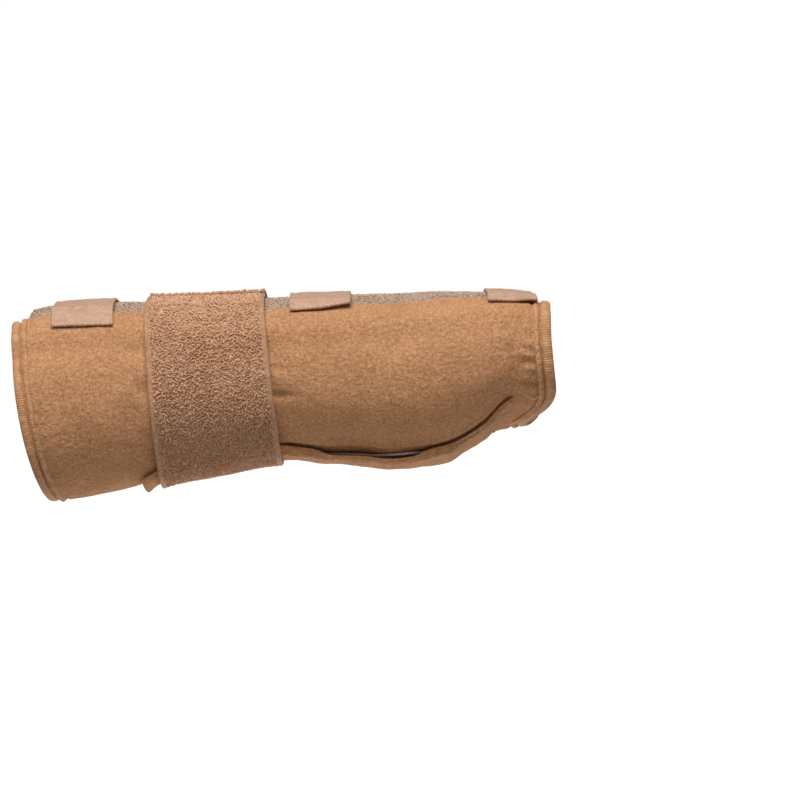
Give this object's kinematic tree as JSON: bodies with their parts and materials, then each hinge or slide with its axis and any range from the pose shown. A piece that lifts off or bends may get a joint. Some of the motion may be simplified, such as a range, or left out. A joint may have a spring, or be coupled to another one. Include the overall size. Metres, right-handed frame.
{
  "type": "wrist brace",
  "caption": "Long cloth wrist brace for the right hand, with an aluminium palmar stay, a wide wrist strap, hook tabs over the dorsal opening and a bound thumb hole.",
  "frame": {"origin": "on the arm's axis, under the wrist strap, where the wrist sits in the brace", "axes": "+X along the arm from the forearm edge to the knuckle edge, +Z to the back of the hand, -Y to the little finger's side"},
  "size_m": [0.205, 0.0886, 0.0798],
  "materials": {
    "sleeve_cloth": "tan brushed cloth laminate",
    "dorsal_cloth": "grey-beige loop-faced knit",
    "binding_tape": "tan woven binding tape",
    "strap_pile": "coarse brown loop pile with woven selvedges",
    "hook_tape": "pink-beige woven hook tape",
    "stay_metal": "plain rolled aluminium sheet"
  },
  "bodies": {
    "root": {"sleeve_panel": "sleeve_cloth", "dorsal_panel": "dorsal_cloth", "forearm_binding": "binding_tape", "knuckle_binding": "binding_tape", "thumb_binding": "binding_tape", "stay_pocket": "sleeve_cloth", "palmar_stay": "stay_metal", "wrist_strap": "strap_pile", "hook_tab_forearm": "hook_tape", "hook_tab_wrist": "hook_tape", "hook_tab_knuckle": "hook_tape"}
  },
  "joints": []
}
